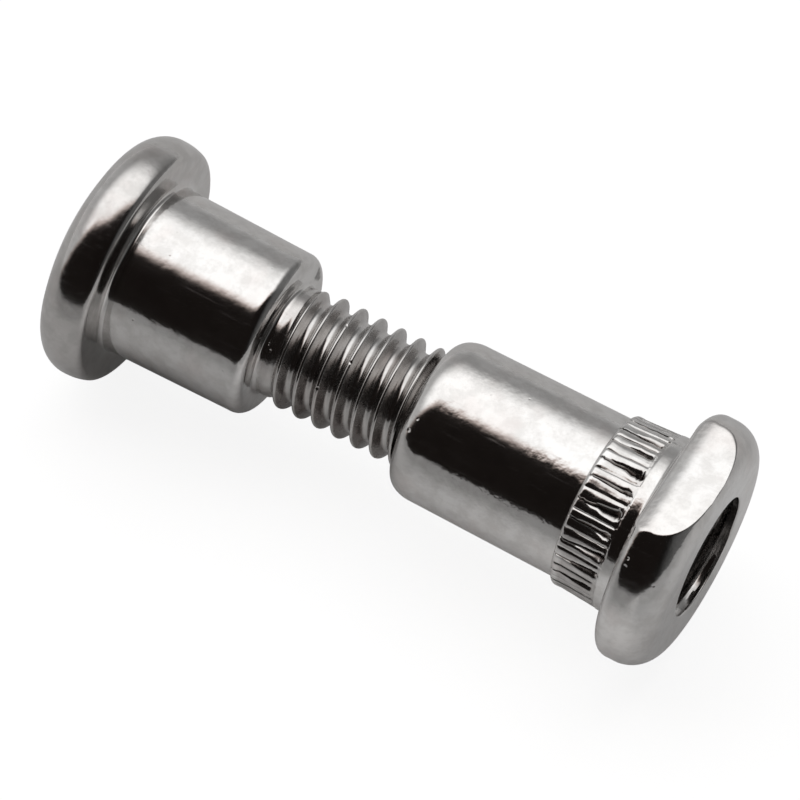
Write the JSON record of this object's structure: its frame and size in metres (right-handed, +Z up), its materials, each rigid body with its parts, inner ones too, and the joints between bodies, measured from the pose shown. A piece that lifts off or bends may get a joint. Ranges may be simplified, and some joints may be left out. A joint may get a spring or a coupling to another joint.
{
  "type": "seatpost clamp bolt",
  "caption": "Shouldered socket-head screw and serrated sleeve nut that draw a bicycle seat clamp's ears together.",
  "frame": {"origin": "middle of the bolt's length, on the surface it lies on", "axes": "+X along the bolt from the screw's head to the nut's face, +Z up through the nut's flats"},
  "size_m": [0.0322, 0.0118, 0.0119],
  "materials": {
    "screw_plating": "bright nickel plate",
    "nut_plating": "bright nickel plate"
  },
  "bodies": {
    "screw": {"screw": "screw_plating"},
    "nut": {"sleeve_nut": "nut_plating"}
  },
  "joints": [
    {"name": "nut_travel", "type": "slide", "parent": "screw", "child": "nut", "axis": [1, 0, 0], "range_m": [-0.00745, 0.0055]}
  ]
}
